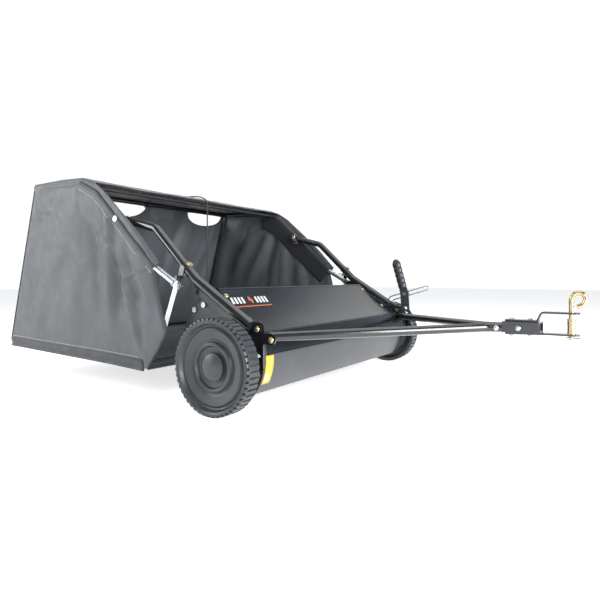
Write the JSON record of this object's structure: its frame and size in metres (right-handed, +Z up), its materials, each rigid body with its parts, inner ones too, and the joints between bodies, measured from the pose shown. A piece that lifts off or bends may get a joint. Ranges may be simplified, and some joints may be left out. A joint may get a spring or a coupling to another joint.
{
  "type": "lawn sweeper",
  "caption": "Tow-behind lawn sweeper: open fabric hopper on bent tube arms, covered rotary brush, ribbed wheels and a two-tube drawbar.",
  "frame": {"origin": "on the ground, midway between the foremost and rearmost points and midway between the wheels", "axes": "+X forward to the hitch, +Y to the machine's left (the height lever's side), +Z up"},
  "size_m": [1.893, 1.102, 0.7024],
  "materials": {
    "black_paint": "gloss",
    "panel_black": "gloss",
    "cover_grey": "satin",
    "plate_grey": "textured",
    "zinc": "satin",
    "yellow_zinc": "satin",
    "wheel_plastic": "satin",
    "cap_plastic": "gloss",
    "gear_plastic": "matte",
    "bristle_nylon": "matte",
    "grip_rubber": "matte",
    "knob_plastic": "matte",
    "bag_fabric": "woven",
    "rope_fibre": "braided"
  },
  "bodies": {
    "chassis": {"side_plate_right": "plate_grey", "side_plate_left": "plate_grey", "upper_panel": "panel_black", "brush_cover": "cover_grey", "front_brackets": "black_paint", "arm_brackets": "black_paint", "arm_tube_right": "black_paint", "arm_tube_left": "black_paint", "lower_arm_right": "black_paint", "lower_arm_left": "black_paint", "arm_pins": "yellow_zinc", "hopper_stops": "black_paint", "tie_rods": "zinc", "brush_bearings": "gear_plastic", "housing_bolts": "yellow_zinc", "guide_loop": "zinc", "hitch_tube_right": "black_paint", "hitch_tube_left": "black_paint", "hitch_channel": "black_paint", "hitch_strap_upper": "black_paint", "hitch_strap_lower": "black_paint", "hitch_bolts": "zinc", "hitch_spacer": "yellow_zinc"},
    "carrier": {"wheel_arm_right": "black_paint", "wheel_arm_left": "black_paint", "torque_tube": "zinc", "stub_axles": "zinc"},
    "wheel_right_body": {"wheel_right": "wheel_plastic", "ring_gear_right": "gear_plastic", "hub_cap_right": "cap_plastic"},
    "wheel_left_body": {"wheel_left": "wheel_plastic", "ring_gear_left": "gear_plastic", "hub_cap_left": "cap_plastic"},
    "brush": {"brush_shaft": "zinc", "brush_core": "black_paint", "brush_bristles": "bristle_nylon", "brush_pinions": "gear_plastic"},
    "lever": {"lever_strap": "plate_grey", "lever_grip": "grip_rubber", "lever_bolts": "zinc"},
    "knob": {"clamp_knob": "knob_plastic"},
    "drop_pin": {"hitch_pin": "yellow_zinc", "hitch_hairpin": "zinc"},
    "hopper": {"hopper_side_tube_right": "black_paint", "hopper_side_tube_left": "black_paint", "rear_top_tube": "black_paint", "front_top_rod": "black_paint", "side_straps": "zinc", "bottom_frame": "black_paint", "bag_side_right": "bag_fabric", "bag_side_left": "bag_fabric", "bag_back": "bag_fabric", "bag_floor": "bag_fabric", "bag_top": "bag_fabric", "hopper_pins": "zinc", "hopper_hairpins": "yellow_zinc", "dump_rope": "rope_fibre", "rope_coil": "rope_fibre", "rope_tie": "rope_fibre", "rope_knot": "rope_fibre"}
  },
  "joints": [
    {"name": "height_adjust", "type": "hinge", "parent": "chassis", "child": "carrier", "pos_m": [0.07854, 0, 0.14253], "axis": [0, 1, 0], "range_deg": [-18, 18]},
    {"name": "brush_spin", "type": "hinge", "parent": "carrier", "child": "brush", "pos_m": [0.07854, 0, 0.14253], "axis": [0, 1, 0], "continuous": true},
    {"name": "wheel_right_spin", "type": "hinge", "parent": "carrier", "child": "wheel_right_body", "pos_m": [0.1365, -0.526, 0.127], "axis": [0, 1, 0], "continuous": true},
    {"name": "wheel_left_spin", "type": "hinge", "parent": "carrier", "child": "wheel_left_body", "pos_m": [0.1365, 0.526, 0.127], "axis": [0, 1, 0], "continuous": true},
    {"name": "lever_swing", "type": "hinge", "parent": "chassis", "child": "lever", "pos_m": [0.2545, 0.478, 0.195], "axis": [0, 1, 0], "range_deg": [-12, 12]},
    {"name": "knob_turn", "type": "hinge", "parent": "lever", "child": "knob", "pos_m": [0.2325, 0.5, 0.288], "axis": [0, 1, 0], "continuous": true},
    {"name": "hopper_dump", "type": "hinge", "parent": "chassis", "child": "hopper", "pos_m": [-0.3135, 0, 0.5386], "axis": [0, 1, 0], "range_deg": [0, 90]},
    {"name": "hitch_pin_turn", "type": "hinge", "parent": "chassis", "child": "drop_pin", "pos_m": [0.9065, 0, 0.25], "axis": [0, 0, 1], "continuous": true}
  ],
  "couplings": [
    {"joint": "wheel_right_spin", "follows": "brush_spin", "ratio": 0.2},
    {"joint": "wheel_left_spin", "follows": "brush_spin", "ratio": 0.2},
    {"joint": "lever_swing", "follows": "height_adjust", "ratio": 0.66}
  ]
}
